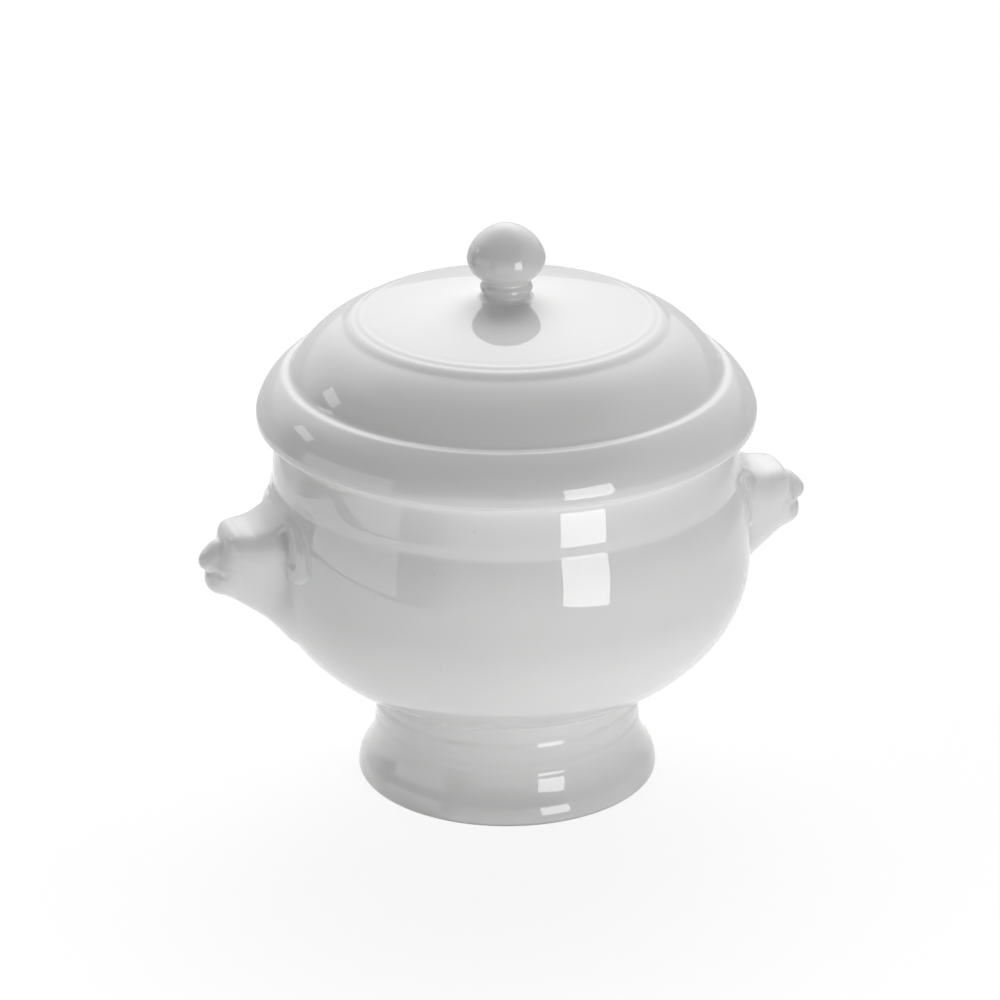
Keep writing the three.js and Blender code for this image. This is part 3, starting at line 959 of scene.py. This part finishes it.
# %% A soft lamp
def soft_lamp(name, place, way, size, radiance, lights=True, mirrored=True):
    """A rectangular lamp whose back points along way. A flat lamp of radiance L and area A has a power of
    pi A L. It can be left out of the light on matt surfaces or out of what gloss mirrors."""
    light = bpy.data.lights.new(name, "AREA")
    light.shape = "RECTANGLE"
    light.size, light.size_y = size
    light.energy = math.pi * size[0] * size[1] * radiance
    lamp = bpy.data.objects.new(name, light)
    lamp.matrix_world = Matrix.Translation(place) @ way.to_track_quat("Z", "Y").to_matrix().to_4x4()
    lamp.visible_camera = False
    lamp.visible_diffuse = lights
    lamp.visible_glossy = mirrored
    bpy.context.scene.collection.objects.link(lamp)
    print(name, "power", round(light.energy, 2))


# %% Lamps
LAMP_AIM = Vector((0, 0, 0.06))
WINDOW_WAY = bearing(35.6, 2)
WINDOW_SIZE = (0.385, 0.70)
WINDOW_LIGHT = 4.4
SHINE_AWAY = 0.99
SHINE_LIGHT = 2.2
BOARD_WAY = bearing(TABLE_TURN, 0)
BOARD_ALONG = bearing(TABLE_TURN - 90, 0)
BOARD_AWAY, BOARD_SHIFT, BOARD_HEIGHT = 0.9, 0.75, 0.121
BOARD_SIZE = (1.27, 0.598)
BOARD_LIGHT = 1.25
SIDE_WAY = bearing(-110, 24)
SIDE_AWAY = 0.9
SIDE_SIZE = (0.2, 0.12)
SIDE_LIGHT = 2.2
TRAY_AWAY, TRAY_HEIGHT = 0.125, 0.001
TRAY_SIZE = (0.26, 0.18)
TRAY_LIGHT = 0.2
UP = Vector((0, 0, 1))

window_place = LAMP_AIM + WINDOW_WAY
shine_place = LAMP_AIM + SHINE_AWAY * WINDOW_WAY
board_place = BOARD_AWAY * BOARD_WAY + BOARD_SHIFT * BOARD_ALONG + BOARD_HEIGHT * UP
side_place = LAMP_AIM + SIDE_AWAY * SIDE_WAY
tray_place = TRAY_AWAY * bearing(0, 0) + TRAY_HEIGHT * UP
soft_lamp("window_lamp", window_place, WINDOW_WAY, WINDOW_SIZE, WINDOW_LIGHT)
soft_lamp("window_shine", shine_place, WINDOW_WAY, WINDOW_SIZE, SHINE_LIGHT, lights=False)
soft_lamp("left_board", board_place, BOARD_WAY, BOARD_SIZE, BOARD_LIGHT, lights=False)
soft_lamp("side_window", side_place, SIDE_WAY, SIDE_SIZE, SIDE_LIGHT, lights=False)
soft_lamp("light_tray", tray_place, -UP, TRAY_SIZE, TRAY_LIGHT, mirrored=False)

# %% [markdown]
# The room itself is one formula of direction. Most light comes from behind and above: it fills the lid's
# top and the paper, while the front of the lid stays grey. The rays that light surfaces see three soft
# glows over a faint even light. Camera rays see plain white. Mirrored rays see white with the glow behind
# the cup on top of it. A studio hangs black cloth above the camera so that the lid isn't washed out, the
# left side is dim, and the wall behind is shaded low down.

# %% What lights the cup
BACK_WAY, BACK_LIGHT, BACK_FOCUS = bearing(175, 46), 5.5, 10
FRONT_WAY, FRONT_LIGHT, FRONT_FOCUS = bearing(-22, -6), 0.74, 9
LEFT_WAY, LEFT_LIGHT, LEFT_FOCUS = bearing(-108, 28), 1.0, 6
ROOM_LIGHT = 0.02

world = bpy.data.worlds.new("studio_room")
bpy.context.scene.world = world
world.use_nodes = True
room = world.node_tree
ray = add_node(room, "ShaderNodeTexCoord").outputs["Generated"]


def cosine_to(middle):
    """Cosine of the angle between the ray and a direction."""
    cosine = add_node(room, "ShaderNodeVectorMath", operation="DOT_PRODUCT")
    wire(room, cosine.inputs[0], ray)
    wire(room, cosine.inputs[1], middle)
    return cosine.outputs["Value"]


def glow_towards(middle, strength, focus):
    """Strength times the cosine of the angle to the middle of the glow, raised to the focus."""
    facing = calculate(room, "MAXIMUM", cosine_to(middle), 0.0)
    return calculate(room, "MULTIPLY", calculate(room, "POWER", facing, focus), strength)


back_glow = glow_towards(BACK_WAY, BACK_LIGHT, BACK_FOCUS)
front_glow = glow_towards(FRONT_WAY, FRONT_LIGHT, FRONT_FOCUS)
left_glow = glow_towards(LEFT_WAY, LEFT_LIGHT, LEFT_FOCUS)
side_glow = calculate(room, "ADD", front_glow, left_glow)
lighting = calculate(room, "ADD", calculate(room, "ADD", back_glow, side_glow), ROOM_LIGHT)
print("room light", BACK_LIGHT, "behind,", LEFT_LIGHT, "left and", FRONT_LIGHT, "in front")

# %% What the glaze mirrors
MIRRORED_BACK = 0.42
CLOTH_WAY, CLOTH_EDGE, CLOTH_FULL, CLOTH_LEVEL = bearing(-20, 65), 0.45, 0.85, 0.05
DIM_WAY, DIM_EDGE, DIM_FULL, DIM_LEVEL = bearing(-75, 2), 0.55, 0.8, 0.0
WALL_WAY, WALL_EDGE, WALL_FULL, WALL_SHADE = bearing(180, 0), 0.3, 0.7, 0.35
WALL_TOP, WALL_BLUR = 0.10, 0.02

cloth = smooth_step(room, cosine_to(CLOTH_WAY), CLOTH_EDGE, CLOTH_FULL, 1.0, CLOTH_LEVEL)
dim_side = smooth_step(room, cosine_to(DIM_WAY), DIM_EDGE, DIM_FULL, 1.0, DIM_LEVEL)
behind = smooth_step(room, cosine_to(WALL_WAY), WALL_EDGE, WALL_FULL)
low_down = smooth_step(room, cosine_to(UP), WALL_TOP - WALL_BLUR, WALL_TOP, WALL_SHADE, 0.0)
wall_light = calculate(room, "SUBTRACT", 1.0, calculate(room, "MULTIPLY", behind, low_down))
front_room = calculate(room, "MINIMUM", cloth, dim_side)
open_room = calculate(room, "MULTIPLY_ADD", back_glow, MIRRORED_BACK, front_room)
mirrored_room = calculate(room, "MULTIPLY", open_room, wall_light)
print("mirrored cloth", CLOTH_LEVEL, "and left side", DIM_LEVEL, "of white")

# %% One room for every ray
path = add_node(room, "ShaderNodeLightPath")
white_ray = calculate(room, "MAXIMUM", path.outputs["Is Camera Ray"], path.outputs["Is Transmission Ray"])
to_mirrored = calculate(room, "SUBTRACT", mirrored_room, lighting)
unseen_room = calculate(room, "MULTIPLY_ADD", path.outputs["Is Glossy Ray"], to_mirrored, lighting)
to_white = calculate(room, "SUBTRACT", 1.0, unseen_room)
level = calculate(room, "MULTIPLY_ADD", white_ray, to_white, unseen_room)
feed(room, room.nodes["Background"], Color=WHITE, Strength=level)
print("room", len(room.nodes), "nodes")
